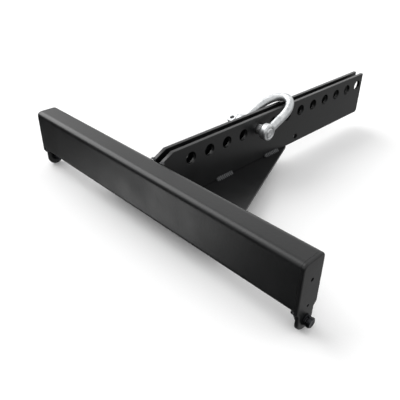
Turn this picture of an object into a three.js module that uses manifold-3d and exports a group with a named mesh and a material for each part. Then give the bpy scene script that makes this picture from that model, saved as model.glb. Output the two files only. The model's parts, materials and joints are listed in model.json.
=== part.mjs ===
// Adjustable T-shaped lifting frame: a rectangular cross tube with a bolted ear at each end, and a
// long arm of two drilled plates that carries a bow shackle in any one of its holes.
// Millimetres, +Z up. X runs along the cross tube and Y along the arm, away from the tube.
// The origin is the centre of the footprint, at the height of the lowest point of the ears.

import * as THREE from "three";
import { mergeVertices } from "three/addons/utils/BufferGeometryUtils.js";
import Module from "manifold-3d";

// ---------------------------------------------------------------- driving dimensions
// In the working frame Y = 0 is the back face of the cross tube and Z = 0 is its top face.
const JOINT_GAP = 0.2; // left between pieces that are welded together

const FRAME_LENGTH = 729.8; // over the outer faces of the end plates
const TUBE_DEPTH = 50.8;
const TUBE_HEIGHT = 94.2;
const TUBE_WALL = 6.35;
const TUBE_CORNER = 8.5;

const END_PLATE = 6.35;
const EAR_WIDTH = 38;
const EAR_BOLT_Z = -117;
const EAR_SHOULDER_Z = -94; // where the plate starts to narrow into its ear
const EAR_NECK_Z = -101;
const EAR_HOLE = 11;
const VENT_HOLES = [{ z: -38.4, diameter: 6.5 }, { z: -88.6, diameter: 5 }];

const ARM_PLATE = 7.94;
const ARM_GAP = 12.7; // clear space between the two arm plates
const ARM_TOP_Z = 12.7;
const ARM_END_Y = 701.5;
const ARM_TOE = { y: 25, z: 0 }; // the sloping top corner next to the tube
const ARM_END_CHAMFER = 5;
const HOLE_COUNT = 13;
const HOLE_PITCH = 50.8;
const HOLE_DIAMETER = 25.4;
const FIRST_HOLE_Y = 70.2;
const HOLE_Z = -15.1;
const TETHER_HOLE = { y: 418, z: -80, diameter: 13 };

const GUSSET = 6.35;
const GUSSET_REACH = 381.6; // where its slanted edge meets the arm
const GUSSET_HALF_WIDTH = 173.7; // at the back face of the tube
const GUSSET_UNDER_TUBE = 32; // how far it runs under the tube

const FILLET_LEG = 7;
const STITCH_WELDS = [142, 300]; // where each short weld between arm and gusset starts
const STITCH_LENGTH = 50;

const BOLT = { shank: 10, headAcrossFlats: 16, headHeight: 6.4, pastNut: 7.4 };
const FLAT_WASHER = { outer: 20, hole: 10.6, thickness: 2 };
const SPRING_WASHER = { outer: 17.6, hole: 10.6, thickness: 2.6, slit: 1.6 };
const LOCK_NUT = { acrossFlats: 16, height: 8.4, collar: 14.4, collarHeight: 2.2 };

const SHACKLE_HOLE = 4; // index of the arm hole that the shackle pin is in
const BAR_DIAMETER = 19;
const BOW_HALF_WIDTH = 36; // pin middle plane to the bar's centre line
const BOW_REACH = 113; // pin axis to the centre line of the crown
const CROWN_HEIGHT = 58; // of the half ellipse that closes the bow
const EYE = { diameter: 36.5, thickness: 19, edge: 4 };
const CROWN_TOUCH = 2.3; // how far outside the arm's face the centre of the touching part lies
const PIN_DIAMETER = 22.2;
const EYE_CLEARANCE = 0.4; // round the pin, in both eyes
const PIN_COLLAR = { diameter: 31, thickness: 5 };
const PIN_TAB = { diameter: 24, thickness: 9, hole: 10, reach: 16 };
const REST_GAP = 0.3; // between resting pieces

// ---------------------------------------------------------------- derived sizes
const HALF_LENGTH = FRAME_LENGTH / 2;
const TUBE_HALF = HALF_LENGTH - END_PLATE - JOINT_GAP;
const MID_Y = -TUBE_DEPTH / 2;
const EAR_RADIUS = EAR_WIDTH / 2;
const EAR_BOTTOM_Z = EAR_BOLT_Z - EAR_RADIUS;
const ARM_HALF_GAP = ARM_GAP / 2;
const ARM_HALF = ARM_HALF_GAP + ARM_PLATE;
const PIN_Z = HOLE_Z - (HOLE_DIAMETER - PIN_DIAMETER) / 2 + REST_GAP;
const PIN_Y = FIRST_HOLE_Y + SHACKLE_HOLE * HOLE_PITCH;
const BAR_REST_Z = ARM_TOP_Z + REST_GAP + BAR_DIAMETER / 2;
// The bow lies on the top edges of the arm's outer faces. Its crown curves back there, and as the
// bar slopes, it touches with a part whose centre is a little further out than the edge.
const TOUCH_X = ARM_HALF + CROWN_TOUCH;
const CROWN_DROP = CROWN_HEIGHT * (1 - Math.sqrt(1 - (TOUCH_X / BOW_HALF_WIDTH) ** 2));
const BOW_LEAN = Math.acos((BAR_REST_Z - PIN_Z) / (BOW_REACH - CROWN_DROP)); // from upright

const steel = new THREE.MeshStandardMaterial({ color: 0x33363a, roughness: 0.5, metalness: 0.1 });
const weldMetal = new THREE.MeshStandardMaterial({ color: 0x3a3c3f, roughness: 0.6, metalness: 0.1 });
const blackFastener = new THREE.MeshStandardMaterial({ color: 0x26272a, roughness: 0.45, metalness: 0.6 });
const galvanised = new THREE.MeshStandardMaterial({ color: 0xd4d6d8, roughness: 0.35, metalness: 0.9 });

// ---------------------------------------------------------------- solids
const wasm = await Module();
wasm.setup();

function solid(geometry) {
  const bare = geometry.clone();
  bare.deleteAttribute("normal");
  bare.deleteAttribute("uv");
  const merged = mergeVertices(bare, 1e-4);
  return new wasm.Manifold(
    new wasm.Mesh({
      numProp: 3,
      vertProperties: merged.attributes.position.array,
      triVerts: new Uint32Array(merged.index.array),
    }),
  );
}

function geometryOf(made) {
  const { vertProperties, triVerts } = made.getMesh();
  const geometry = new THREE.BufferGeometry();
  geometry.setAttribute("position", new THREE.BufferAttribute(vertProperties, 3));
  geometry.setIndex(new THREE.BufferAttribute(triVerts, 1));
  geometry.computeVertexNormals();
  return geometry;
}

function extrude(shape, depth, curveSegments = 8) {
  return new THREE.ExtrudeGeometry(shape, { depth, bevelEnabled: false, curveSegments });
}

// An outline drawn in Y and Z, carried along X from one place to another.
const YZ_TO_X = new THREE.Matrix4().makeBasis(
  new THREE.Vector3(0, 1, 0),
  new THREE.Vector3(0, 0, 1),
  new THREE.Vector3(1, 0, 0),
);

function alongX(shape, fromX, toX, curveSegments) {
  return extrude(shape, toX - fromX, curveSegments).applyMatrix4(YZ_TO_X).translate(fromX, 0, 0);
}

// An outline drawn in X and Z, carried along Y: the sketch's X is mirrored by the turn, so it is
// given as -X.
const XZ_TO_Y = new THREE.Matrix4().makeBasis(
  new THREE.Vector3(-1, 0, 0),
  new THREE.Vector3(0, 0, 1),
  new THREE.Vector3(0, 1, 0),
);

function alongY(shape, fromY, toY) {
  return extrude(shape, toY - fromY).applyMatrix4(XZ_TO_Y).translate(0, fromY, 0);
}

function cylinderX(diameter, fromX, toX, segments = 32) {
  const made = new THREE.CylinderGeometry(diameter / 2, diameter / 2, toX - fromX, segments);
  return made.rotateZ(-Math.PI / 2).translate((fromX + toX) / 2, 0, 0);
}

function polygon(points) {
  return new THREE.Shape(points.map(([a, b]) => new THREE.Vector2(a, b)));
}

function circle(x, y, radius) {
  const path = new THREE.Path();
  path.absarc(x, y, radius, 0, 2 * Math.PI, true);
  return path;
}

// A rectangle with round corners, from one corner to the opposite one.
function roundedRectangle(x0, y0, x1, y1, r, kind = THREE.Shape) {
  const outline = new kind();
  outline.absarc(x1 - r, y0 + r, r, -Math.PI / 2, 0, false);
  outline.absarc(x1 - r, y1 - r, r, 0, Math.PI / 2, false);
  outline.absarc(x0 + r, y1 - r, r, Math.PI / 2, Math.PI, false);
  outline.absarc(x0 + r, y0 + r, r, Math.PI, 1.5 * Math.PI, false);
  outline.closePath();
  return outline;
}

const assembly = new THREE.Group();

function add(name, geometry, material, parent = assembly) {
  const mesh = new THREE.Mesh(geometry, material);
  mesh.name = name;
  parent.add(mesh);
  return mesh;
}

// ---------------------------------------------------------------- cross tube and end plates
function tubeOutline() {
  return roundedRectangle(-TUBE_DEPTH, -TUBE_HEIGHT, 0, 0, TUBE_CORNER);
}

function beamTube() {
  const outline = tubeOutline();
  const w = TUBE_WALL;
  const corner = TUBE_CORNER - w;
  outline.holes.push(roundedRectangle(w - TUBE_DEPTH, w - TUBE_HEIGHT, -w, -w, corner, THREE.Path));
  return alongX(outline, -TUBE_HALF, TUBE_HALF);
}

// The plate is as wide as the tube, narrows at two sloping shoulders and ends in a round ear.
function endPlateOutline() {
  const outline = new THREE.Shape();
  outline.moveTo(0, EAR_SHOULDER_Z);
  outline.absarc(-TUBE_CORNER, -TUBE_CORNER, TUBE_CORNER, 0, Math.PI / 2, false);
  outline.absarc(TUBE_CORNER - TUBE_DEPTH, -TUBE_CORNER, TUBE_CORNER, Math.PI / 2, Math.PI, false);
  outline.lineTo(-TUBE_DEPTH, EAR_SHOULDER_Z);
  outline.lineTo(MID_Y - EAR_RADIUS, EAR_NECK_Z);
  outline.absarc(MID_Y, EAR_BOLT_Z, EAR_RADIUS, Math.PI, 2 * Math.PI, false);
  outline.lineTo(MID_Y + EAR_RADIUS, EAR_NECK_Z);
  outline.closePath();
  return outline;
}

function endPlate() {
  const outline = endPlateOutline();
  outline.holes.push(circle(MID_Y, EAR_BOLT_Z, EAR_HOLE / 2));
  for (const vent of VENT_HOLES) outline.holes.push(circle(MID_Y, vent.z, vent.diameter / 2));
  return alongX(outline, HALF_LENGTH - END_PLATE, HALF_LENGTH, 12);
}

// The fillet under the tube, on the inner face of the end plate: a triangle carried along the
// bottom and turned round the two lower corners, then trimmed to the plate's own edges.
function endWeld() {
  const face = HALF_LENGTH - END_PLATE - JOINT_GAP;
  const inner = TUBE_CORNER + JOINT_GAP;
  const outer = inner + FILLET_LEG;
  const cornerZ = TUBE_CORNER - TUBE_HEIGHT;
  const ring = turnedX([[inner, -FILLET_LEG], [outer, 0], [inner, 0], [inner, -FILLET_LEG]], 32);
  const bottomZ = -TUBE_HEIGHT - JOINT_GAP;
  const run = TUBE_DEPTH - 2 * TUBE_CORNER;
  const straight = alongY(
    polygon([[-face, bottomZ], [-face, bottomZ - FILLET_LEG], [FILLET_LEG - face, bottomZ]]),
    -TUBE_CORNER - run,
    -TUBE_CORNER,
  );
  let weld = solid(straight);
  for (const [y, side] of [[-TUBE_CORNER, 1], [TUBE_CORNER - TUBE_DEPTH, -1]]) {
    const quarter = new THREE.BoxGeometry(2 * outer, outer, outer)
      .translate(face, y + (side * outer) / 2, cornerZ - outer / 2);
    weld = weld.add(solid(ring.clone().translate(face, y, cornerZ)).intersect(solid(quarter)));
  }
  const trim = solid(alongX(endPlateOutline(), face - outer, face, 12));
  return geometryOf(weld.intersect(trim));
}

// ---------------------------------------------------------------- arm and gusset
function armPlate() {
  const bottom = -TUBE_HEIGHT;
  const outline = polygon([
    [JOINT_GAP, bottom],
    [ARM_END_Y - ARM_END_CHAMFER, bottom],
    [ARM_END_Y, bottom + ARM_END_CHAMFER],
    [ARM_END_Y, ARM_TOP_Z],
    [ARM_TOE.y, ARM_TOP_Z],
    [JOINT_GAP, ARM_TOE.z],
  ]);
  for (let i = 0; i < HOLE_COUNT; i++)
    outline.holes.push(circle(FIRST_HOLE_Y + i * HOLE_PITCH, HOLE_Z, HOLE_DIAMETER / 2));
  outline.holes.push(circle(TETHER_HOLE.y, TETHER_HOLE.z, TETHER_HOLE.diameter / 2));
  return alongX(outline, ARM_HALF_GAP, ARM_HALF, 16);
}

function gussetPlate() {
  const outline = polygon([
    [-GUSSET_HALF_WIDTH, -GUSSET_UNDER_TUBE],
    [GUSSET_HALF_WIDTH, -GUSSET_UNDER_TUBE],
    [GUSSET_HALF_WIDTH, 0],
    [ARM_HALF, GUSSET_REACH],
    [-ARM_HALF, GUSSET_REACH],
    [-GUSSET_HALF_WIDTH, 0],
  ]);
  const top = -TUBE_HEIGHT - JOINT_GAP;
  return extrude(outline, GUSSET).translate(0, 0, top - GUSSET);
}

// A fillet in the corner between the arm's outer face and the tube's back face.
function armWeld() {
  const x = ARM_HALF + JOINT_GAP;
  const y = JOINT_GAP;
  const outline = polygon([[x, y], [x + FILLET_LEG, y], [x, y + FILLET_LEG]]);
  const height = TUBE_HEIGHT - 2 * TUBE_CORNER;
  return extrude(outline, height).translate(0, 0, TUBE_CORNER - TUBE_HEIGHT);
}

// A short fillet in the corner between the arm's outer face and the top of the gusset.
function stitchWeld(startY) {
  const x = ARM_HALF + JOINT_GAP;
  const z = -TUBE_HEIGHT;
  const outline = polygon([[-x, z], [-x, z + FILLET_LEG], [-x - FILLET_LEG, z]]);
  return alongY(outline, startY, startY + STITCH_LENGTH);
}

// The bead that fills the wedge between the tube's lower back corner and the gusset's top.
function gussetWeld() {
  const radius = TUBE_CORNER + JOINT_GAP;
  const outline = new THREE.Shape();
  const endAngle = -0.28 * Math.PI;
  outline.absarc(-TUBE_CORNER, TUBE_CORNER - TUBE_HEIGHT, radius, -0.42 * Math.PI, endAngle, false);
  outline.lineTo(FILLET_LEG / 2, -TUBE_HEIGHT);
  outline.lineTo(-TUBE_CORNER / 2, -TUBE_HEIGHT);
  outline.closePath();
  const clearOfArm = ARM_HALF + JOINT_GAP + FILLET_LEG + 1;
  return alongX(outline, clearOfArm, GUSSET_HALF_WIDTH - FILLET_LEG);
}

// ---------------------------------------------------------------- ear bolts
function hexagon(acrossFlats) {
  const radius = acrossFlats / Math.sqrt(3);
  const corners = [...Array(6).keys()].map((i) => {
    const a = (i * Math.PI) / 3;
    return [radius * Math.cos(a), radius * Math.sin(a)];
  });
  return polygon(corners);
}

// Turned about X: each profile point is a radius and a place along X.
function turnedX(profile, segments = 24) {
  const points = profile.map(([radius, x]) => new THREE.Vector2(radius, x));
  return new THREE.LatheGeometry(points, segments).rotateZ(-Math.PI / 2);
}

const WASHER_X = HALF_LENGTH + REST_GAP;
const SPRING_X = WASHER_X + FLAT_WASHER.thickness + REST_GAP;
const HEAD_X = SPRING_X + SPRING_WASHER.thickness + REST_GAP;
const NUT_X = HALF_LENGTH - END_PLATE - REST_GAP; // its face on the ear, the nut runs inwards
const BOLT_END_X = NUT_X - LOCK_NUT.height - LOCK_NUT.collarHeight - BOLT.pastNut;

function earBolt() {
  const head = solid(alongX(hexagon(BOLT.headAcrossFlats), HEAD_X, HEAD_X + BOLT.headHeight));
  const corner = BOLT.headAcrossFlats / Math.sqrt(3);
  const dome = turnedX([
    [0, HEAD_X - 1],
    [corner + 0.2, HEAD_X - 1],
    [corner + 0.2, HEAD_X + BOLT.headHeight - 1.1],
    [BOLT.headAcrossFlats / 2 - 0.4, HEAD_X + BOLT.headHeight],
    [0, HEAD_X + BOLT.headHeight],
  ]);
  const r = BOLT.shank / 2;
  const shank = turnedX([[0, BOLT_END_X], [r - 1, BOLT_END_X], [r, BOLT_END_X + 1], [r, HEAD_X + 1], [0, HEAD_X + 1]]);
  return geometryOf(head.intersect(solid(dome)).add(solid(shank)));
}

function washer({ outer, hole, thickness }, x) {
  const r = outer / 2;
  return turnedX([[hole / 2, x], [r, x], [r, x + thickness], [hole / 2, x + thickness], [hole / 2, x]]);
}

function springWasher() {
  const slit = new THREE.BoxGeometry(2 * SPRING_WASHER.thickness, SPRING_WASHER.slit, SPRING_WASHER.outer)
    .rotateX(0.3)
    .translate(SPRING_X + SPRING_WASHER.thickness / 2, 0, SPRING_WASHER.outer / 2 + 1);
  return geometryOf(solid(washer(SPRING_WASHER, SPRING_X)).subtract(solid(slit)));
}

function lockNut() {
  const inner = NUT_X - LOCK_NUT.height;
  const body = solid(alongX(hexagon(LOCK_NUT.acrossFlats), inner, NUT_X));
  const collarEnd = inner - LOCK_NUT.collarHeight;
  const r = LOCK_NUT.collar / 2;
  const collar = turnedX([[0, collarEnd], [r - 1, collarEnd], [r, collarEnd + 1], [r, inner + 1], [0, inner + 1]]);
  const bore = cylinderX(BOLT.shank + 2 * REST_GAP, collarEnd - 1, NUT_X + 1, 24);
  return geometryOf(body.add(solid(collar)).subtract(solid(bore)));
}

// ---------------------------------------------------------------- shackle
// The bow's centre line in its own X and Z: up one straight leg, over a half ellipse, down the other.
class BowLine extends THREE.Curve {
  getPoint(t, target = new THREE.Vector3()) {
    const leg = BOW_REACH - CROWN_HEIGHT;
    const crown = (Math.PI / 2) * (BOW_HALF_WIDTH + CROWN_HEIGHT);
    const s = t * (2 * leg + crown);
    if (s < leg) return target.set(BOW_HALF_WIDTH, 0, s);
    if (s > leg + crown) return target.set(-BOW_HALF_WIDTH, 0, 2 * leg + crown - s);
    const a = (Math.PI * (s - leg)) / crown;
    return target.set(BOW_HALF_WIDTH * Math.cos(a), 0, leg + CROWN_HEIGHT * Math.sin(a));
  }
}

function shackleBow() {
  const section = new THREE.Shape();
  section.absarc(0, 0, BAR_DIAMETER / 2, 0, 2 * Math.PI, false);
  const bar = new THREE.ExtrudeGeometry(section, {
    steps: 48,
    curveSegments: 16,
    bevelEnabled: false,
    extrudePath: new BowLine(),
  });
  let bow = solid(bar);
  const half = EYE.thickness / 2;
  const r = EYE.diameter / 2;
  const edge = EYE.edge;
  const profile = [[0, -half], [r - edge, -half], [r, edge - half], [r, half - edge], [r - edge, half], [0, half]];
  for (const side of [-1, 1]) {
    const eye = turnedX(profile, 36);
    bow = bow.add(solid(eye.translate(side * BOW_HALF_WIDTH, 0, 0)));
  }
  const reach = BOW_HALF_WIDTH + EYE.thickness;
  return geometryOf(bow.subtract(solid(cylinderX(PIN_DIAMETER + 2 * EYE_CLEARANCE, -reach, reach))));
}

// The pin's collar and its drilled turning tab are on the -X side.
function shacklePin() {
  const eyeFace = BOW_HALF_WIDTH + EYE.thickness / 2;
  const collarFace = -eyeFace - REST_GAP;
  const tabFace = collarFace - PIN_COLLAR.thickness;
  const r = PIN_DIAMETER / 2;
  const collar = PIN_COLLAR.diameter / 2;
  const shaft = turnedX(
    [
      [0, tabFace],
      [collar - 1, tabFace],
      [collar, tabFace + 1],
      [collar, collarFace],
      [r, collarFace],
      [r, eyeFace - 0.5],
      [r - 1.5, eyeFace + 1],
      [0, eyeFace + 1],
    ],
    32,
  );
  const half = PIN_TAB.thickness / 2;
  const tabRadius = PIN_TAB.diameter / 2;
  const tabCentre = tabFace - PIN_TAB.reach + 2;
  const tab = new THREE.Shape();
  tab.moveTo(tabFace + 1, tabRadius);
  tab.absarc(tabCentre, 0, tabRadius, Math.PI / 2, 1.5 * Math.PI, false);
  tab.lineTo(tabFace + 1, -tabRadius);
  tab.closePath();
  tab.holes.push(circle(tabCentre, 0, PIN_TAB.hole / 2));
  const plate = extrude(tab, PIN_TAB.thickness, 12).rotateX(Math.PI / 2).translate(0, half, 0);
  return geometryOf(solid(shaft).add(solid(plate)));
}

// ---------------------------------------------------------------- assembly
// Pieces are drawn for the +X side; the -X side is the same piece, turned or mirrored.
function mirrored(geometry) {
  const flat = geometry.index ? geometry.toNonIndexed() : geometry.clone();
  flat.scale(-1, 1, 1);
  const position = flat.getAttribute("position");
  for (let i = 0; i < position.count; i += 3) {
    const second = new THREE.Vector3().fromBufferAttribute(position, i + 1);
    const third = new THREE.Vector3().fromBufferAttribute(position, i + 2);
    position.setXYZ(i + 1, third.x, third.y, third.z);
    position.setXYZ(i + 2, second.x, second.y, second.z);
  }
  flat.computeVertexNormals();
  return flat;
}

function addPair(name, geometry, material, parent = assembly) {
  add(name + "_right", geometry, material, parent);
  add(name + "_left", mirrored(geometry), material, parent);
}

add("beam_tube", beamTube(), steel);
addPair("end_plate", endPlate(), steel);
addPair("end_weld", endWeld(), weldMetal);
addPair("arm_plate", armPlate(), steel);
add("gusset_plate", gussetPlate(), steel);
addPair("arm_weld", armWeld(), weldMetal);
addPair("gusset_weld", gussetWeld(), weldMetal);
STITCH_WELDS.forEach((startY, i) => addPair("stitch_weld_" + (i + 1), stitchWeld(startY), weldMetal));

const earAxis = new THREE.Group();
earAxis.position.set(0, MID_Y, EAR_BOLT_Z);
assembly.add(earAxis);
addPair("ear_bolt", earBolt(), blackFastener, earAxis);
addPair("ear_washer", washer(FLAT_WASHER, WASHER_X), blackFastener, earAxis);
addPair("ear_spring_washer", springWasher(), blackFastener, earAxis);
addPair("ear_lock_nut", lockNut(), blackFastener, earAxis);

const shackle = new THREE.Group();
shackle.position.set(0, PIN_Y, PIN_Z);
shackle.rotation.x = -BOW_LEAN;
assembly.add(shackle);
add("shackle_bow", shackleBow(), galvanised, shackle);
add("shackle_pin", shacklePin(), galvanised, shackle);

assembly.position.set(0, (TUBE_DEPTH - ARM_END_Y) / 2, -EAR_BOTTOM_Z);
const group = new THREE.Group();
group.name = "adjustable_lifting_frame";
group.add(assembly);

export default group;
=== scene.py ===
"""Adjustable T-shaped lifting frame: welded black powder-coated steel with a galvanised bow shackle.

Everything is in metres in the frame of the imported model: X along the cross tube, Y along the arm
away from the tube, Z up, with the lowest point of the ears at Z = 0.
"""

import json
import math

import bpy
import numpy as np
from mathutils import Matrix, Vector
from mathutils.geometry import tessellate_polygon


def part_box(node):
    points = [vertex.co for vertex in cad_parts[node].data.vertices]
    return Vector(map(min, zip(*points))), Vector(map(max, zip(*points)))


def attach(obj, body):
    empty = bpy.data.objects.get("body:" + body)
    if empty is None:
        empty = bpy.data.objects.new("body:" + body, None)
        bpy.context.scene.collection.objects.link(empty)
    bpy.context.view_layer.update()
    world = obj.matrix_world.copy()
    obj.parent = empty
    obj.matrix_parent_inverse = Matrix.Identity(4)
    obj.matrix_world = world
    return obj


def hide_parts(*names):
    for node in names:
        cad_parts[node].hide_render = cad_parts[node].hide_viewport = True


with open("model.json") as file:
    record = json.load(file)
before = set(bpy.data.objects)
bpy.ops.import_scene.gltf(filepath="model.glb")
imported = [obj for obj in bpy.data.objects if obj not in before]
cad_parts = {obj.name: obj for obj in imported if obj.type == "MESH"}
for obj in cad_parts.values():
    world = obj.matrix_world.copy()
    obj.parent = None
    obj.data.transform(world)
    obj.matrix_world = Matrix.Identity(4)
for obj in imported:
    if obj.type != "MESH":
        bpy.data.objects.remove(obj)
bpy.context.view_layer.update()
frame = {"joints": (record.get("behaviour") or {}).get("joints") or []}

MM = 0.001

# ------------------------------------------------------------------ sizes, mostly from the frame
TUBE_LOW, TUBE_HIGH = (np.array(corner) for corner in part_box("beam_tube"))
ARM_LOW, ARM_HIGH = (np.array(corner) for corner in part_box("arm_plate_right"))
PLATE_LOW, PLATE_HIGH = (np.array(corner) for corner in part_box("end_plate_right"))
GUSSET_LOW, GUSSET_HIGH = (np.array(corner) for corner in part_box("gusset_plate"))

TUBE_TOP = TUBE_HIGH[2]
TUBE_BOTTOM = TUBE_LOW[2]
TUBE_FRONT = TUBE_LOW[1]
TUBE_BACK = TUBE_HIGH[1]
TUBE_MIDDLE = (TUBE_FRONT + TUBE_BACK) / 2
TUBE_CORNER = 8.5 * MM
TUBE_BLEND = 12.5 * MM
BLEND_POWER = 2.6
TUBE_WALL = 6.35 * MM

EAR_WIDTH = 38 * MM
EAR_BOLT_Z = PLATE_LOW[2] + EAR_WIDTH / 2
EAR_SHOULDER_Z = TUBE_BOTTOM + 0.2 * MM
EAR_NECK_Z = TUBE_BOTTOM - 6.8 * MM
VENTS = [(TUBE_TOP - 38.4 * MM, 6.5 * MM), (TUBE_TOP - 88.6 * MM, 5 * MM)]

HOLE_PITCH = 50.8 * MM
HOLE_COUNT = 13
HOLE_RADIUS = 12.7 * MM
FIRST_HOLE_Y = TUBE_BACK + 70.2 * MM
HOLE_Z = TUBE_TOP - 15.1 * MM
TETHER_HOLE = (TUBE_BACK + 418 * MM, TUBE_TOP - 80 * MM, 6.5 * MM)
ARM_TOE_Y = TUBE_BACK + 25 * MM
ARM_END_CHAMFER = 5 * MM

FILLET_LEG = 7 * MM
JOINT_GAP = 0.2 * MM
RIPPLE_PITCH = 5.5 * MM
RIPPLE_DEPTH = 0.2
WELD_SMOOTH = 60
ALMOST_AXIS = 0.1 * MM  # where a turned shape's end face closes

SWING = next(j for j in frame["joints"] if j["name"] == "shackle_swing")
PIN_CENTRE = np.array(SWING["pos_m"])
BAR_RADIUS = 9.5 * MM
BOW_HALF_WIDTH = 36 * MM
BOW_REACH = 113 * MM
CROWN_HEIGHT = 58 * MM
EYE_RADIUS = 18.25 * MM
EYE_HALF = 9.5 * MM
PIN_RADIUS = 11.1 * MM
REST_GAP = 0.3 * MM
TOUCH_X = ARM_HIGH[0] + 2.3 * MM
CROWN_DROP = CROWN_HEIGHT * (1 - math.sqrt(1 - (TOUCH_X / BOW_HALF_WIDTH) ** 2))
BAR_REST_Z = ARM_HIGH[2] + REST_GAP + BAR_RADIUS
BOW_LEAN = math.acos((BAR_REST_Z - PIN_CENTRE[2]) / (BOW_REACH - CROWN_DROP))

# ------------------------------------------------------------------ camera and light
CAMERA_AZIMUTH = 45.70
CAMERA_ELEVATION = 32.74
CAMERA_ROLL = 0.53
CAMERA_PLACE = (0.6142, -0.8158, 0.5524)
LENS_MM = 42.97

# soft round lights in the sky: direction, degrees of full strength, degrees of none, brightness
GLOWS = [
    ((0, 0, 1), 72, 93, 1.10),  # the even sky
    ((-0.76, -0.15, 0.63), 24, 33, 3.2),  # a big soft box, high on the left
    ((0.55, 0.6, -0.6), 30, 80, 0.45),  # the lit room, low behind on the right
    ((-0.655, -0.51, -0.558), 5, 10, 3.0),  # a pale card, low in front on the left
    ((-0.6, 0.79, 0.12), 8, 22, 1.2),  # a low strip behind on the left
]
ROOM_DARK = 0.04
BACKDROP = 1.1
FLOOR_HALF = 6.0


def camera():
    """The camera's axes from its azimuth, elevation and roll, as a row of unit vectors."""
    a, e, r = np.radians([CAMERA_AZIMUTH, CAMERA_ELEVATION, CAMERA_ROLL])
    back = np.array([math.sin(a) * math.cos(e), -math.cos(a) * math.cos(e), math.sin(e)])
    level = np.array([math.cos(a), math.sin(a), 0.0])
    upright = np.cross(back, level)
    right = math.cos(r) * level + math.sin(r) * upright
    up = math.cos(r) * upright - math.sin(r) * level
    data = bpy.data.cameras.new("camera")
    data.lens = LENS_MM
    data.sensor_width = 36
    data.clip_start = 0.01
    data.clip_end = 50
    made = bpy.data.objects.new("camera", data)
    axes = np.stack([right, up, back], axis=1)
    made.matrix_world = Matrix.Translation(CAMERA_PLACE) @ Matrix(axes.tolist()).to_4x4()
    bpy.context.scene.collection.objects.link(made)
    bpy.context.scene.camera = made


# ------------------------------------------------------------------ materials
def linear(code):
    """An sRGB hex colour as linear RGBA: each channel through the sRGB curve."""
    channels = [int(code[i:i + 2], 16) / 255 for i in (1, 3, 5)]
    return tuple(c / 12.92 if c <= 0.04045 else ((c + 0.055) / 1.055) ** 2.4 for c in channels) + (1.0,)


def node(tree, kind, settings=None, **links):
    """Adds one node. settings are its properties or sockets. links give a socket's source: the key
    is the socket's name with _ for a space, or i and the socket's number."""
    made = tree.nodes.new(kind)
    for key, value in (settings or {}).items():
        if isinstance(key, str) and hasattr(made, key):
            setattr(made, key, value)
        else:
            made.inputs[key].default_value = value
    for key, source in links.items():
        by_number = key[0] == "i" and key[1:].isdigit()
        tree.links.new(source, made.inputs[int(key[1:]) if by_number else key.replace("_", " ")])
    return made


def ramp(tree, source, stops):
    """A colour ramp with (place, sRGB hex) stops."""
    made = node(tree, "ShaderNodeValToRGB", Fac=source)
    band = made.color_ramp
    while len(band.elements) < len(stops):
        band.elements.new(0.5)
    for element, (place, code) in zip(band.elements, stops):
        element.position = place
        element.color = linear(code)
    return made


def new_material(name):
    made = bpy.data.materials.new(name)
    made.use_nodes = True
    tree = made.node_tree
    tree.nodes.clear()
    shader = node(tree, "ShaderNodeBsdfPrincipled")
    output = node(tree, "ShaderNodeOutputMaterial")
    tree.links.new(shader.outputs[0], output.inputs[0])
    where = node(tree, "ShaderNodeTexCoord").outputs["Object"]
    return made, tree, shader, where


def satin_powder_coat(name, low, high, roughness, peel):
    """Polyester powder coat baked on steel: a thick satin skin with a fine orange peel.

    The eye sees an even near-black that is a little cloudy, a broad soft shine, and a skin that
    ripples every 2 to 3 mm where the powder flowed. The ripple is drawn at 5 mm, so that it shows
    at this size, and a finer texture at 0.6 mm, both shallow.
    """
    made, tree, shader, where = new_material(name)
    cloud = node(tree, "ShaderNodeTexNoise", {"Scale": 1 / (60 * MM), "Detail": 3.0}, Vector=where)
    tint = ramp(tree, cloud.outputs["Fac"], [(0.35, low), (0.7, high)])
    tree.links.new(tint.outputs["Color"], shader.inputs["Base Color"])
    waves = node(tree, "ShaderNodeTexNoise", {"Scale": 1 / (5 * MM), "Detail": 1.0}, Vector=where)
    grit = node(tree, "ShaderNodeTexNoise", {"Scale": 1 / (0.6 * MM), "Detail": 0.0}, Vector=where)
    fine = node(
        tree, "ShaderNodeBump", {"Strength": 0.10, "Distance": 0.05 * MM}, Height=grit.outputs["Fac"],
    )
    skin = node(
        tree, "ShaderNodeBump", {"Strength": peel, "Distance": 0.16 * MM},
        Height=waves.outputs["Fac"], Normal=fine.outputs["Normal"],
    )
    tree.links.new(skin.outputs["Normal"], shader.inputs["Normal"])
    dull = node(
        tree, "ShaderNodeMapRange",
        {"From Min": 0.3, "From Max": 0.7, "To Min": roughness - 0.03, "To Max": roughness + 0.05},
        Value=cloud.outputs["Fac"],
    )
    tree.links.new(dull.outputs["Result"], shader.inputs["Roughness"])
    shader.inputs["IOR"].default_value = 1.5
    return made


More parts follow.
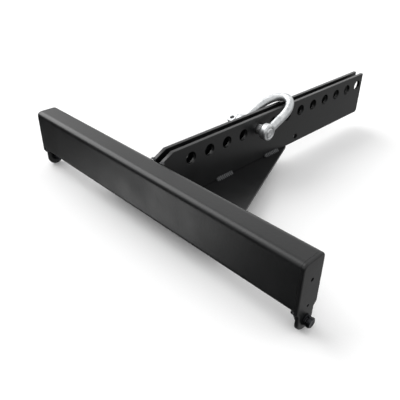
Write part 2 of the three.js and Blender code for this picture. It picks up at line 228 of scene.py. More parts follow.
def galvanised_steel():
    """Forged steel, hot-dip galvanised: a bright grey zinc skin over a slightly lumpy forging.

    The eye sees patches of zinc crystals about 6 mm across that differ a little in tone and
    shine, with soft lumps where the zinc ran.
    """
    made, tree, shader, where = new_material("hot_dip_galvanised_forging")
    shader.inputs["Metallic"].default_value = 1.0
    crystals = node(tree, "ShaderNodeTexVoronoi", {"Scale": 1 / (6 * MM)}, Vector=where)
    runs = node(tree, "ShaderNodeTexNoise", {"Scale": 1 / (14 * MM), "Detail": 4.0}, Vector=where)
    both = node(
        tree, "ShaderNodeMix", {"data_type": "FLOAT", "Factor": 0.6},
        i2=crystals.outputs["Color"], i3=runs.outputs["Fac"],
    )
    tint = ramp(tree, both.outputs[0], [(0.25, "#B4B7B9"), (0.55, "#D6D8D9"), (0.8, "#E8E9E9")])
    tree.links.new(tint.outputs["Color"], shader.inputs["Base Color"])
    dull = node(
        tree, "ShaderNodeMapRange",
        {"From Min": 0.2, "From Max": 0.8, "To Min": 0.36, "To Max": 0.52}, Value=both.outputs[0],
    )
    tree.links.new(dull.outputs["Result"], shader.inputs["Roughness"])
    lumps = node(
        tree, "ShaderNodeBump", {"Strength": 0.35, "Distance": 0.3 * MM}, Height=runs.outputs["Fac"],
    )
    tree.links.new(lumps.outputs["Normal"], shader.inputs["Normal"])
    return made


def black_zinc_plated_steel():
    """Machined steel, zinc plated and black passivated: a dark metal with a fairly sharp shine,
    clouded every 5 mm by the bath and with faint turning marks 1.2 mm apart."""
    made, tree, shader, where = new_material("black_zinc_plated_steel")
    shader.inputs["Metallic"].default_value = 1.0
    stain = node(tree, "ShaderNodeTexNoise", {"Scale": 1 / (5 * MM), "Detail": 4.0}, Vector=where)
    tint = ramp(tree, stain.outputs["Fac"], [(0.3, "#2C2D30"), (0.75, "#4A4B4E")])
    tree.links.new(tint.outputs["Color"], shader.inputs["Base Color"])
    marks = node(
        tree, "ShaderNodeTexWave",
        {"wave_type": "BANDS", "bands_direction": "X", "Scale": 1 / (1.2 * MM), "Distortion": 1.5},
        Vector=where,
    )
    grooves = node(
        tree, "ShaderNodeBump", {"Strength": 0.08, "Distance": 0.05 * MM}, Height=marks.outputs["Fac"],
    )
    tree.links.new(grooves.outputs["Normal"], shader.inputs["Normal"])
    shader.inputs["Roughness"].default_value = 0.34
    return made


# ------------------------------------------------------------------ mesh making
def mesh_object(name, points, faces, material, smooth_angle=35, weighted=False):
    """One object at the origin from an (n, 3) array of points and a list of faces."""
    data = bpy.data.meshes.new(name)
    data.from_pydata(np.asarray(points, float).reshape(-1, 3), [], faces)
    data.update()
    data.shade_smooth()
    data.set_sharp_from_angle(angle=math.radians(smooth_angle))
    data.materials.append(material)
    made = bpy.data.objects.new(name, data)
    bpy.context.scene.collection.objects.link(made)
    if weighted:
        even = made.modifiers.new("even_faces", "WEIGHTED_NORMAL")
        even.keep_sharp = True
    return made


def ring_faces(count, size, joined=False, start=0):
    """Quads between successive closed rings of points, and from the last to the first if joined."""
    rows = np.arange(count if joined else count - 1)[:, None]
    columns = np.arange(size)[None, :]
    after = (rows + 1) % count
    beside = (columns + 1) % size
    quads = np.stack(
        [rows * size + columns, rows * size + beside, after * size + beside, after * size + columns],
        axis=-1,
    )
    return (quads.reshape(-1, 4) + start).tolist()


def shell(rings, joined=False):
    """(points, faces) of a closed skin over rings: an (n, m, 3) array whose rings run clockwise as
    seen from the side that the next ring is on. Open ends get one flat face each."""
    rings = np.asarray(rings, float)
    count, size = rings.shape[:2]
    faces = ring_faces(count, size, joined)
    if not joined:
        faces.append(list(range(size))[::-1])
        faces.append([(count - 1) * size + i for i in range(size)])
    return rings.reshape(-1, 3), faces


def merged(*shells):
    """Several (points, faces) as one."""
    points, faces, start = [], [], 0
    for some, their_faces in shells:
        points.append(some)
        faces.extend([[i + start for i in face] for face in their_faces])
        start += len(some)
    return np.concatenate(points), faces


def outwards(points, faces):
    """The same skin with its faces turned to face out: the signed volume of the fans tells."""
    volume = 0.0
    for size in sorted({len(face) for face in faces}):
        same = np.array([face for face in faces if len(face) == size])
        first = points[same[:, 0]]
        for k in range(1, size - 1):
            fan = np.cross(points[same[:, k]], points[same[:, k + 1]])
            volume += np.einsum("ij,ij->i", first, fan).sum()
    return (points, [face[::-1] for face in faces]) if volume < 0 else (points, faces)


def spun(radius, x, angle, centre):
    """Rings round X through centre: Y and Z are the radius times the angle's cosine and sine."""
    x, y, z = np.broadcast_arrays(x, radius * np.cos(angle), radius * np.sin(angle))
    return np.stack([x, y, z], axis=-1) + np.array(centre)


def turned(profile, centre, segments=48, joined=False, hexagon=None):
    """A profile of (radius, place along X) spun round X through centre.

    With hexagon, a spin angle's radius is no more than the distance to the side of a hexagon of
    that half width across flats, so the flats cut the spun shape in arcs as a chamfered head's do.
    """
    profile = np.array(profile, float)
    angle = np.linspace(0, 2 * math.pi, segments, endpoint=False)
    radius = np.repeat(profile[:, :1], segments, axis=1)
    if hexagon:
        from_flat = (angle + math.pi / 6) % (math.pi / 3) - math.pi / 6
        radius = np.minimum(radius, hexagon / np.cos(from_flat)[None, :])
    return outwards(*shell(spun(radius, profile[:, 1:], angle[None, :], centre), joined))


def arc(centre, radius, start, end, steps, power=2.0):
    """Points on an arc, in degrees, both ends included.

    A point is the centre plus radius times the cosine and sine, each raised to 2 / power with its
    sign kept. Power 2 is a circle, and a higher one eases into the flats on both sides.
    """
    angle = np.radians(np.linspace(start, end, steps))
    aim = np.stack([np.cos(angle), np.sin(angle)], axis=1)
    return np.array(centre) + radius * np.sign(aim) * np.abs(aim) ** (2 / power)


def circle(centre, radius, segments=48):
    return arc(centre, radius, 0, 360, segments + 1)[:-1]


def round_rectangle(low, high, radius, power, steps=16):
    """A rectangle's outline with eased corners, anticlockwise."""
    (x0, y0), (x1, y1) = low, high
    corners = [((x1 - radius, y0 + radius), -90), ((x1 - radius, y1 - radius), 0),
               ((x0 + radius, y1 - radius), 90), ((x0 + radius, y0 + radius), 180)]
    return np.concatenate([arc(centre, radius, start, start + 90, steps, power) for centre, start in corners])


def inset(loop, distance):
    """The loop moved to the left of its own direction by each distance, mitred at its corners.

    Each point moves along the sum of its two edges' normals, divided by one plus their dot product.
    """
    along = np.roll(loop, -1, axis=0) - loop
    along /= np.linalg.norm(along, axis=1)[:, None]
    normal = np.stack([-along[:, 1], along[:, 0]], axis=1)
    before = np.roll(normal, 1, axis=0)
    mitre = (normal + before) / (1 + (normal * before).sum(axis=1))[:, None]
    return loop[None] + np.asarray(distance)[:, None, None] * mitre[None]


def plate(outline, holes, low, high, edges, place, steps=3):
    """A flat plate with holes, from low to high, whose edges are rounded.

    Every loop is carried through the thickness along a path of (inset, height): a quarter circle,
    the straight side, a quarter circle. The flat faces are filled between the innermost loops.
    edges are the rounding radii of the outline on the low and the high face, and of the holes.
    place turns (u, v, height) arrays into points.
    """
    turn = np.linspace(0, math.pi / 2, steps + 1)
    in_by, up_by = 1 - np.sin(turn), 1 - np.cos(turn)
    at_low, at_high, at_hole = edges
    loops = [(np.asarray(outline), at_low, at_high)]
    loops += [(np.asarray(hole)[::-1], at_hole, at_hole) for hole in holes]
    points, faces, start = [], [], 0
    flats = {"low": [], "high": []}
    for loop, below, above in loops:
        depth = np.concatenate([below * in_by, above * in_by[::-1]])
        height = np.concatenate([low + below * up_by, high - above * up_by[::-1]])
        rings = inset(loop, depth)
        size = len(loop)
        heights = np.repeat(height[:, None], size, axis=1)
        points.append(place(rings[..., 0], rings[..., 1], heights).reshape(-1, 3))
        faces.extend(ring_faces(len(depth), size, start=start))
        flats["low"].append((rings[0], start))
        flats["high"].append((rings[-1], start + (len(depth) - 1) * size))
        start += len(depth) * size
    for side in flats.values():
        index = np.concatenate([np.arange(len(loop)) + first for loop, first in side])
        filled = tessellate_polygon([[Vector((u, v, 0)) for u, v in loop] for loop, _ in side])
        triangles = np.array(filled)
        flat = np.concatenate([loop for loop, _ in side])
        a, b, c = (flat[triangles[:, k]] for k in range(3))
        area = (b[:, 0] - a[:, 0]) * (c[:, 1] - a[:, 1]) - (b[:, 1] - a[:, 1]) * (c[:, 0] - a[:, 0])
        triangles[area < 0] = triangles[area < 0][:, ::-1]
        triangles = index[triangles]
        faces.extend((triangles[:, ::-1] if side is flats["low"] else triangles).tolist())
    return outwards(np.concatenate(points), faces)


def across_x(u, v, height):
    """Outline in Y and Z, thickness along X."""
    return np.stack([height, u, v], axis=-1)


def across_z(u, v, height):
    """Outline in X and Y, thickness along Z."""
    return np.stack([u, v, height], axis=-1)


def bead(path, wall_a, wall_b, leg_a, leg_b, sides=9):
    """A weld bead laid along path in the corner between two walls.

    Across, the face is a convex line from one wall to the other: at angle t from wall a it stands
    off the corner by leg_a cos t along wall a and leg_b sin t along wall b, pulled in towards the
    chord. Along, it is a row of overlapped crescents: the height falls from each crest to the next
    over one pitch, and the crests bow back at mid face. Both ends taper to a rounded stop.
    """
    path = np.asarray(path, float)
    steps = np.linalg.norm(np.diff(path, axis=0), axis=1)
    s = np.concatenate([[0], np.cumsum(steps)])
    t = np.linspace(0, math.pi / 2, sides)[None, :]
    phase = s[:, None] / RIPPLE_PITCH + 0.45 * np.sin(2 * t)
    crescent = 1 - RIPPLE_DEPTH * (phase % 1.0) ** 2
    chord = 0.82 + 0.18 * np.abs(np.cos(2 * t))
    taper = 5 * MM
    from_end = np.minimum(s, s[-1] - s)[:, None]
    stop = np.sqrt(np.clip(1 - (1 - np.minimum(from_end / taper, 1)) ** 2, 0.02, 1))
    size = chord * crescent * stop
    a = np.broadcast_to(wall_a, path.shape)[:, None]
    b = np.broadcast_to(wall_b, path.shape)[:, None]
    leg_a = np.broadcast_to(leg_a, s.shape)[:, None, None]
    leg_b = np.broadcast_to(leg_b, s.shape)[:, None, None]
    face = path[:, None] + size[..., None] * (
        leg_a * np.cos(t)[..., None] * a + leg_b * np.sin(t)[..., None] * b
    )
    return outwards(*shell(np.concatenate([face, path[:, None]], axis=1)))


def straight(start, end, spacing=0.4 * MM):
    """Evenly spaced points between two places."""
    start, end = np.array(start, float), np.array(end, float)
    count = max(2, int(np.linalg.norm(end - start) / spacing) + 1)
    return start + (end - start) * np.linspace(0, 1, count)[:, None]


def flipped(skin):
    """The same skin on the other side of the frame: X changes sign and every face turns round."""
    points, faces = skin
    return points * np.array([-1, 1, 1]), [face[::-1] for face in faces]


def finished(made, node_name, body="lifting_frame"):
    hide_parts(node_name)
    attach(made, body)
    return made


def pair(name, skin, material, smooth_angle=35, weighted=False):
    """A piece and its mirror image, which stand for the nodes NAME_right and NAME_left."""
    for side, some in (("_right", skin), ("_left", flipped(skin))):
        made = mesh_object(name + side + "_finish", *some, material, smooth_angle, weighted)
        finished(made, name + side)


# ------------------------------------------------------------------ welded frame
def cross_tube(material):
    """Rectangular hollow section: the wall's section is a closed path of outer face, rounded rim,
    inner face and rim, carried round the tube's outline. Its corners ease into the flats."""
    rim = 0.3 * MM
    half = TUBE_HIGH[0]
    outer = round_rectangle((TUBE_FRONT, TUBE_BOTTOM), (TUBE_BACK, TUBE_TOP), TUBE_BLEND, BLEND_POWER)
    quarter = np.linspace(0, math.pi / 2, 4)
    ease = rim * (1 - np.sin(quarter))
    back_off = rim * (1 - np.cos(quarter))
    # outer rim at +X down through the wall to the inner rim, then the same at -X the other way
    depth = np.concatenate([ease[::-1], TUBE_WALL - ease, (TUBE_WALL - ease)[::-1], ease])
    along = np.concatenate([half - back_off[::-1], half - back_off, -half + back_off[::-1], -half + back_off])
    rings = inset(outer, depth)
    places = np.repeat(along[:, None], len(outer), axis=1)
    skin = outwards(*shell(across_x(rings[..., 0], rings[..., 1], places), joined=True))
    made = mesh_object("beam_tube_finish", *skin, material, weighted=True)
    finished(made, "beam_tube")


def end_plates(material):
    """Flat plate that narrows at two shoulders into a round ear, with a vent hole and a drain.

    Its outer edge is ground round after welding, and its inner edge stays sharp at the tube.
    """
    middle = TUBE_MIDDLE
    ear = EAR_WIDTH / 2
    outline = np.concatenate([
        arc((TUBE_BACK - TUBE_BLEND, TUBE_TOP - TUBE_BLEND), TUBE_BLEND, 0, 90, 16, BLEND_POWER),
        arc((TUBE_FRONT + TUBE_BLEND, TUBE_TOP - TUBE_BLEND), TUBE_BLEND, 90, 180, 16, BLEND_POWER),
        [(TUBE_FRONT, EAR_SHOULDER_Z), (middle - ear, EAR_NECK_Z)],
        arc((middle, EAR_BOLT_Z), ear, 180, 360, 28),
        [(middle + ear, EAR_NECK_Z), (TUBE_BACK, EAR_SHOULDER_Z)],
    ])
    holes = [circle((middle, EAR_BOLT_Z), 5.5 * MM, 32)]
    holes += [circle((middle, z), diameter / 2, 24) for z, diameter in VENTS]
    edges = (0.3 * MM, 3 * MM, 0.6 * MM)
    skin = plate(outline, holes, PLATE_LOW[0], PLATE_HIGH[0], edges, across_x, steps=5)
    pair("end_plate", skin, material, weighted=True)


def arm_plates(material):
    """Flat bar with a sloping toe at the tube, a row of lifting holes and one small tether hole."""
    low, high = ARM_LOW, ARM_HIGH
    outline = np.array([
        (low[1], low[2]),
        (high[1] - ARM_END_CHAMFER, low[2]),
        (high[1], low[2] + ARM_END_CHAMFER),
        (high[1], high[2]),
        (ARM_TOE_Y, high[2]),
        (low[1], TUBE_TOP),
    ])
    holes = [circle((FIRST_HOLE_Y + i * HOLE_PITCH, HOLE_Z), HOLE_RADIUS) for i in range(HOLE_COUNT)]
    holes.append(circle(TETHER_HOLE[:2], TETHER_HOLE[2], 32))
    edges = (0.8 * MM, 0.8 * MM, 0.7 * MM)
    skin = plate(outline, holes, low[0], high[0], edges, across_x)
    pair("arm_plate", skin, material, weighted=True)


def gusset(material):
    """Flat plate under arm and tube, with a slanted edge on each side."""
    reach, under = GUSSET_HIGH[1], GUSSET_LOW[1]
    wide, narrow = GUSSET_HIGH[0], ARM_HIGH[0]
    right = np.array([(wide, under), (wide, TUBE_BACK), (narrow, reach)])
    outline = np.concatenate([right, right[::-1] * (-1, 1)])
    edges = (0.8 * MM, 0.8 * MM, 0.0)
    skin = plate(outline, [], GUSSET_LOW[2], GUSSET_HIGH[2], edges, across_z)
    made = mesh_object("gusset_plate_finish", *skin, material, weighted=True)
    finished(made, "gusset_plate")


def welds(material):
    """The beads: arm to gusset, arm to tube, gusset to tube and tube to end plates."""
    side = ARM_HIGH[0] + JOINT_GAP / 2
    for name in ("stitch_weld_1", "stitch_weld_2"):
        low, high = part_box(name + "_right")
        path = straight((side, low[1], low[2]), (side, high[1], low[2]))
        skin = bead(path, (1, 0, 0), (0, 0, 1), FILLET_LEG, FILLET_LEG)
        pair(name, skin, material, WELD_SMOOTH)
    low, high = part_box("arm_weld_right")
    path = straight((side, low[1], low[2]), (side, low[1], high[2]))
    upright = bead(path, (1, 0, 0), (0, 1, 0), FILLET_LEG, FILLET_LEG)
    # a short bead across the toe of the plate fills the wedge over the tube's round corner
    toe_y, toe_z = TUBE_BACK - 2 * MM, TUBE_TOP - 3 * MM
    path = straight((ARM_LOW[0], toe_y, toe_z), (side + 4 * MM, toe_y, toe_z))
    across = bead(path, (0, -0.6, 0.55), (0, 0.75, 0.66), 6 * MM, 6 * MM)
    pair("arm_weld", merged(upright, across), material, WELD_SMOOTH)
    # the gusset's bead runs in the wedge under the tube's lower corner
    low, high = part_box("gusset_weld_right")
    wedge_y = TUBE_BACK - 9 * MM
    path = straight((low[0], wedge_y, low[2]), (high[0], wedge_y, low[2]))
    skin = bead(path, (0, 1, 0), (0, 0.6, 0.8), 12 * MM, 6 * MM)
    pair("gusset_weld", skin, material, WELD_SMOOTH)
    end_weld(material)


def end_weld(material):
    """A fillet from the tube's lower corners and bottom onto the end plate's inner face.

    The path is an arc, a straight run and an arc round the tube's section. The leg on the plate is
    as wide as the plate leaves beside the round corner: the corner's radius over the cosine of the
    turn, less the radius, growing to the full leg past the diagonal.
    """
    radius = TUBE_CORNER + JOINT_GAP
    turn = np.radians(np.linspace(20, 90, 50))
    back_centre = np.array([TUBE_BACK - TUBE_CORNER, TUBE_BOTTOM + TUBE_CORNER])
    front_centre = np.array([TUBE_FRONT + TUBE_CORNER, TUBE_BOTTOM + TUBE_CORNER])
    run = np.linspace(0, 1, 52)[1:-1]
    y = np.concatenate([
        back_centre[0] + radius * np.cos(turn),
        back_centre[0] + (front_centre[0] - back_centre[0]) * run,
        front_centre[0] - radius * np.cos(turn[::-1]),
    ])
    z = np.concatenate([
        back_centre[1] - radius * np.sin(turn),
        np.full(run.shape, TUBE_BOTTOM - JOINT_GAP),
        front_centre[1] - radius * np.sin(turn[::-1]),
    ])
    normal_y = np.concatenate([np.cos(turn), np.zeros(run.shape), -np.cos(turn[::-1])])
    normal_z = np.concatenate([-np.sin(turn), -np.ones(run.shape), -np.sin(turn[::-1])])
    past_diagonal = np.maximum(turn - math.pi / 4, 0)
    margin = TUBE_CORNER / np.cos(turn - past_diagonal) - radius + past_diagonal * FILLET_LEG
    leg = np.clip(margin, 0.3 * MM, FILLET_LEG)
    legs = np.concatenate([leg, np.full(run.shape, FILLET_LEG), leg[::-1]])
    path = np.stack([np.full(y.shape, PLATE_LOW[0] - JOINT_GAP / 2), y, z], axis=1)
    outward = np.stack([np.zeros(y.shape), normal_y, normal_z], axis=1)
    skin = bead(path, (-1, 0, 0), outward, np.maximum(legs, 2 * MM), legs)
    pair("end_weld", skin, material, WELD_SMOOTH)


# ------------------------------------------------------------------ ear bolts
def thread(radius, depth, pitch, start, end, centre, segments=32, per_turn=8):
    """Rings of a screw thread along X: the radius falls by depth with the distance of
    (x / pitch - angle / turn) from its nearest whole number, and runs out at the end."""
    count = max(3, int(abs(end - start) / pitch * per_turn) + 1)
    x = np.linspace(start, end, count)[:, None]
    angle = np.linspace(0, 2 * math.pi, segments, endpoint=False)[None, :]
    wave = np.abs(((x / pitch - angle / (2 * math.pi)) % 1.0) - 0.5) * 2
    fade = np.clip(np.abs(end - x) / pitch, 0, 1)
    return spun(radius - depth * wave * fade, x, angle, centre)


def rings_of(profile, centre, segments=32):
    """Plain rings of (radius, place along X)."""
    profile = np.array(profile, float)
    angle = np.linspace(0, 2 * math.pi, segments, endpoint=False)[None, :]
    return spun(profile[:, :1], profile[:, 1:], angle, centre)


def ear_fasteners(material):
    """Hexagon bolt from outside, flat and spring washer under its head, lock nut inside."""
    axis = (0.0, TUBE_MIDDLE, EAR_BOLT_Z)
    low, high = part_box("ear_bolt_right")
    head = 6.4 * MM
    flats = 8 * MM
    corner = flats / math.cos(math.pi / 6)
    top, under = high[0], high[0] - head
    chamfer = (corner - flats * 0.94) * math.tan(math.radians(30))
    head_skin = turned(
        [(ALMOST_AXIS, top - 0.25 * MM), (flats * 0.5, top - 0.25 * MM), (flats * 0.56, top),
         (flats * 0.94, top), (corner, top - chamfer), (corner, under + 0.6 * MM),
         (flats * 0.97, under + 0.6 * MM), (flats * 0.95, under), (ALMOST_AXIS, under)],
        axis, 96, hexagon=flats)
    r = 5 * MM
    shank = np.concatenate([
        rings_of([(ALMOST_AXIS, low[0]), (r - 1.2 * MM, low[0])], axis),
        thread(r, 0.85 * MM, 1.5 * MM, low[0] + 1.0 * MM, low[0] + 19 * MM, axis),
        rings_of([(r, under + 0.3 * MM), (ALMOST_AXIS, under + 0.3 * MM)], axis),
    ])
    bolt = merged(head_skin, outwards(*shell(shank)))
    pair("ear_bolt", bolt, material)

    low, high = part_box("ear_washer_right")
    e = 0.4 * MM
    hole, rim = 5.3 * MM, 10 * MM
    washer = turned(
        [(hole, low[0]), (rim - e, low[0]), (rim, low[0] + e), (rim, high[0] - e), (rim - e, high[0]),
         (hole + e, high[0]), (hole, high[0] - e)], axis, 64, joined=True)
    pair("ear_washer", washer, material)

    low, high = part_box("ear_spring_washer_right")
    pair("ear_spring_washer", spring_washer(low[0], high[0], axis), material)

    low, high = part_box("ear_lock_nut_right")
    collar = 2.2 * MM
    inner = low[0] + collar
    bore = 5.35 * MM
    nut = turned(
        [(bore, low[0] + 0.5 * MM), (bore + 0.6 * MM, low[0]), (6.4 * MM, low[0]),
         (7.1 * MM, low[0] + 0.8 * MM), (7.2 * MM, inner), (flats * 0.95, inner),
         (corner, inner + chamfer), (corner, high[0] - chamfer), (flats * 0.95, high[0]),
         (bore + 0.8 * MM, high[0]), (bore, high[0] - 0.8 * MM)],
        axis, 96, joined=True, hexagon=flats)
    pair("ear_lock_nut", nut, material)


def spring_washer(low, high, axis):
    """A square-section coil of just under one turn whose ends are a little apart along X."""
    rise = 0.5 * MM
    angle = np.linspace(math.radians(100), math.radians(450), 90)
    middle = (low + high) / 2 + rise * (angle - angle.mean()) / (angle[-1] - angle[0])
    half = (high - low) / 2 - rise / 2
    inner, outer = 5.4 * MM, 8.8 * MM
    e = 0.3 * MM
    section = np.array([
        (inner + e, -half), (outer - e, -half), (outer, -half + e), (outer, half - e),
        (outer - e, half), (inner + e, half), (inner, half - e), (inner, e - half)])
    r, h = section[None, :, 0], section[None, :, 1]
    rings = np.stack([
        axis[0] + middle[:, None] + h + 0 * r,
        axis[1] + r * np.cos(angle)[:, None] + 0 * h,
        axis[2] + r * np.sin(angle)[:, None] + 0 * h], axis=-1)
    return outwards(*shell(rings))


# ------------------------------------------------------------------ shackle
def leaned(points):
    """From the shackle's own frame, pin along X and bow upright, to its place on the arm."""
    c, s = math.cos(BOW_LEAN), math.sin(BOW_LEAN)
    turn = np.array([[1, 0, 0], [0, c, s], [0, -s, c]])
    return np.asarray(points) @ turn.T + PIN_CENTRE


def bow_line(count):
    """The bow's centre line and unit tangent: a leg, a half ellipse, a leg, evenly in parameter."""
    leg = BOW_REACH - CROWN_HEIGHT
    up = np.linspace(0, leg, count // 4)
    angle = np.linspace(0, math.pi, count // 2)[1:-1]
    x = BOW_HALF_WIDTH * np.concatenate([np.ones(up.shape), np.cos(angle), -np.ones(up.shape)])
    z = np.concatenate([up, leg + CROWN_HEIGHT * np.sin(angle), up[::-1]])
    line = np.stack([x, 0 * x, z], axis=1)
    tangent = np.gradient(line, axis=0)
    return line, tangent / np.linalg.norm(tangent, axis=1)[:, None]


def forged(name, shells, cutters, material, voxel, rounds):
    """One forging from overlapping closed skins: they are run together on a fine grid of cubes and
    relaxed, which leaves the soft fillets of a die forging, and then its holes are bored."""
    rough = mesh_object(name, *merged(*shells), material)
    grid = rough.modifiers.new("run_together", "REMESH")
    grid.mode = "VOXEL"
    grid.voxel_size = voxel
    relax = rough.modifiers.new("relax", "SMOOTH")
    relax.factor = 0.5
    relax.iterations = rounds
    tools = []
    for i, skin in enumerate(cutters):
        tool = mesh_object(f"{name}_drill_{i}", *skin, material)
        bore = rough.modifiers.new(f"bore_{i}", "BOOLEAN")
        bore.operation = "DIFFERENCE"
        bore.solver = "EXACT"
        bore.object = tool
        tools.append(tool)
    return settled(rough, tools)


def settled(made, tools=()):
    """Puts the result of an object's modifiers into its mesh and removes its tools."""
    graph = bpy.context.evaluated_depsgraph_get()
    data = bpy.data.meshes.new_from_object(made.evaluated_get(graph))
    made.modifiers.clear()
    old = made.data
    made.data = data
    bpy.data.meshes.remove(old)
    for tool in tools:
        bpy.data.objects.remove(tool)
    data.shade_smooth()
    data.set_sharp_from_angle(angle=math.radians(38))
    return made


def shackle_bow(material):
    """Round bar bent to a bow and forged into an eye at each end, bored for the pin."""
    line, tangent = bow_line(120)
    across = np.cross(tangent, (0, 1, 0))
    angle = np.linspace(0, 2 * math.pi, 28, endpoint=False)
    rings = line[:, None] + BAR_RADIUS * (
        np.cos(angle)[None, :, None] * across[:, None] + np.sin(angle)[None, :, None] * np.array([0, 1.0, 0])
    )
    bar = outwards(*shell(rings))
    # the eye's half profile: face, then a quarter circle out to the rim
    face = EYE_HALF - 0.1 * MM
    e = 4.5 * MM
    quarter = np.radians(np.linspace(0, 90, 8))
    edge = np.stack([EYE_RADIUS - e + e * np.sin(quarter), e - face - e * np.cos(quarter)], axis=1)
    half = np.concatenate([[(ALMOST_AXIS, -face)], edge])
    profile = np.concatenate([half, half[::-1] * (1, -1)])
    eyes = [turned(profile, (side * BOW_HALF_WIDTH, 0, 0), 64) for side in (-1, 1)]
    outer = BOW_HALF_WIDTH + EYE_HALF
    inner = BOW_HALF_WIDTH - EYE_HALF
    hole = PIN_RADIUS + 0.5 * MM
    wide = hole + 1.5 * MM
    clear = 3 * MM
    # the drill is wider at both faces, which leaves a small countersink
    drill = np.array([
        (ALMOST_AXIS, inner - clear), (wide, inner - clear), (wide, inner - 0.2 * MM),
        (hole, inner + 1 * MM), (hole, outer - 1.2 * MM), (wide, outer + 0.2 * MM),
        (wide, outer + clear), (ALMOST_AXIS, outer + clear)])
    drills = [turned(drill * (1, side), (0, 0, 0), 64) for side in (-1, 1)]
    skins = [(leaned(points), faces) for points, faces in [bar, *eyes]]
    drills = [(leaned(points), faces) for points, faces in drills]
    made = forged("shackle_bow_finish", skins, drills, material, 1.0 * MM, 8)
    finished(made, "shackle_bow", "bow")


def shackle_pin(material):
    """Screw pin: a shaft with a threaded end, a collar, and a flat drilled tab to turn it by."""
    origin = (0, 0, 0)
    eye_face = BOW_HALF_WIDTH + EYE_HALF
    collar_face = -eye_face - REST_GAP
    tab_face = collar_face - 5 * MM
    inside_tab = tab_face + 1.5 * MM
    tip = eye_face + 1 * MM
    r = PIN_RADIUS
    segments = 48
    shaft = np.concatenate([
        rings_of([(ALMOST_AXIS, inside_tab), (r, inside_tab), (r, eye_face - 19 * MM)], origin, segments),
        thread(r, 1.3 * MM, 2.5 * MM, eye_face - 18.5 * MM, tip - 2.2 * MM, origin, segments),
        rings_of(
            [(r - 0.4 * MM, tip - 1.8 * MM), (r - 2.2 * MM, tip), (2.6 * MM, tip),
             (0.3 * MM, tip - 1.6 * MM)], origin, segments),
    ])
    shaft = outwards(*shell(shaft))
    c = 15.5 * MM
    e = 1.2 * MM
    collar = turned(
        [(ALMOST_AXIS, tab_face), (c - e, tab_face), (c, tab_face + e), (c, collar_face - e / 2),
         (c - e / 2, collar_face), (ALMOST_AXIS, collar_face)], origin, 64)
    tab_radius, tab_half, reach = 12 * MM, 4.5 * MM, 14 * MM
    middle = tab_face - reach
    outline = np.concatenate([
        arc((middle, 0), tab_radius, 90, 270, 30),
        [(tab_face + 2 * MM, -tab_radius), (tab_face + 2 * MM, tab_radius)],
    ])
    tab = plate(
        outline, [], -tab_half, tab_half, (2.5 * MM, 2.5 * MM, 0.0),
        lambda u, v, h: np.stack([u, h, v], axis=-1), steps=4)
    hole = turned(
        [(7.5 * MM, -tab_half - 1.5 * MM), (5 * MM, -tab_half + 1 * MM),
         (5 * MM, tab_half - 1 * MM), (7.5 * MM, tab_half + 1.5 * MM)], origin, 48)
    points, faces = hole
    hole = (points[:, [1, 0, 2]] + np.array([middle, 0, 0]), [face[::-1] for face in faces])
    head_skins = [(leaned(p), f) for p, f in (collar, tab)]
    head = forged("shackle_pin_head", head_skins, [(leaned(hole[0]), hole[1])], material, 0.8 * MM, 5)
    made = mesh_object("shackle_pin_finish", leaned(shaft[0]), shaft[1], material, 50)
    join = made.modifiers.new("head", "BOOLEAN")
    join.operation = "UNION"
    join.solver = "EXACT"
    join.object = head
    settled(made, [head])
    finished(made, "shackle_pin", "pin")


# ------------------------------------------------------------------ studio
def glow(tree, where, toward, full, none, strength):
    """A soft round patch of sky: full strength within one angle of its centre, none beyond another."""
    aim = Vector(toward).normalized()
    facing = node(tree, "ShaderNodeVectorMath", {"operation": "DOT_PRODUCT", 1: aim}, i0=where)
    return node(
        tree, "ShaderNodeMapRange",
        {"interpolation_type": "SMOOTHSTEP", "From Min": math.cos(math.radians(none)),
         "From Max": math.cos(math.radians(full)), "To Min": 0.0, "To Max": strength},
        Value=facing.outputs["Value"],
    ).outputs["Result"]


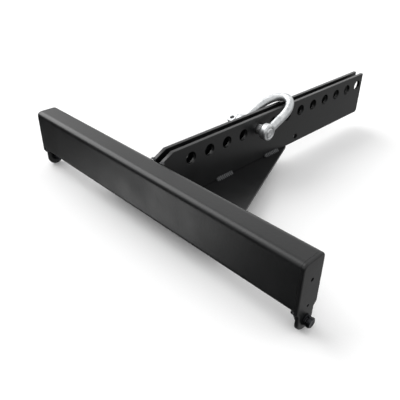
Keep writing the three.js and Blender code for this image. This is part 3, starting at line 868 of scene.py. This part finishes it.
def studio():
    """A pale floor under an even white sky, with one big soft box high on the left.

    Below the horizon the sky stands for the room: dark in front, lighter behind and to the right.
    The card lights the middle of the tube's front, and the low strip behind draws a thin line
    along the far edges. Where the sky itself is seen, it is a plain pale backdrop.
    """
    far = FLOOR_HALF
    corners = [(-far, -far, 0), (far, -far, 0), (far, far, 0), (-far, far, 0)]
    floor = mesh_object("floor", corners, [[0, 1, 2, 3]], floor_material())
    floor.visible_glossy = False
    world = bpy.data.worlds.new("studio")
    bpy.context.scene.world = world
    world.use_nodes = True
    tree = world.node_tree
    tree.nodes.clear()
    where = node(tree, "ShaderNodeTexCoord").outputs["Generated"]
    total, *others = [glow(tree, where, *light) for light in GLOWS]
    for other in others:
        total = node(tree, "ShaderNodeMath", {"operation": "ADD"}, i0=total, i1=other).outputs["Value"]
    total = node(tree, "ShaderNodeMath", {"operation": "ADD", 1: ROOM_DARK}, i0=total).outputs["Value"]
    seen = node(tree, "ShaderNodeLightPath").outputs["Is Camera Ray"]
    strength = node(tree, "ShaderNodeMix", {"data_type": "FLOAT", 3: BACKDROP}, i0=seen, i2=total)
    light = node(tree, "ShaderNodeBackground", Strength=strength.outputs[0])
    output = node(tree, "ShaderNodeOutputWorld")
    tree.links.new(light.outputs[0], output.inputs[0])
    bpy.context.scene.view_settings.view_transform = "Standard"


def floor_material():
    """White paper on the studio floor: matte, with faint fibres about 3 mm long."""
    made, tree, shader, where = new_material("white_paper_sweep")
    fibre = node(tree, "ShaderNodeTexNoise", {"Scale": 1 / (3 * MM), "Detail": 2.0}, Vector=where)
    tint = ramp(tree, fibre.outputs["Fac"], [(0.0, "#F6F6F6"), (1.0, "#FBFBFB")])
    tree.links.new(tint.outputs["Color"], shader.inputs["Base Color"])
    shader.inputs["Roughness"].default_value = 0.9
    shader.inputs["Specular IOR Level"].default_value = 0.1
    return made


camera()
studio()
coat = satin_powder_coat("satin_black_powder_coat", "#0B0C0D", "#111213", 0.34, 0.6)
# painted sheen: the beads wear the same black coat as the plates, and their much lighter base colour stands
# in for the shine their lumps catch
bead_coat_painted_sheen = satin_powder_coat("powder_coat_over_weld_painted_sheen", "#333436", "#434446", 0.42, 0.35)
cross_tube(coat)
end_plates(coat)
arm_plates(coat)
gusset(coat)
welds(bead_coat_painted_sheen)
ear_fasteners(black_zinc_plated_steel())
zinc = galvanised_steel()
shackle_bow(zinc)
shackle_pin(zinc)
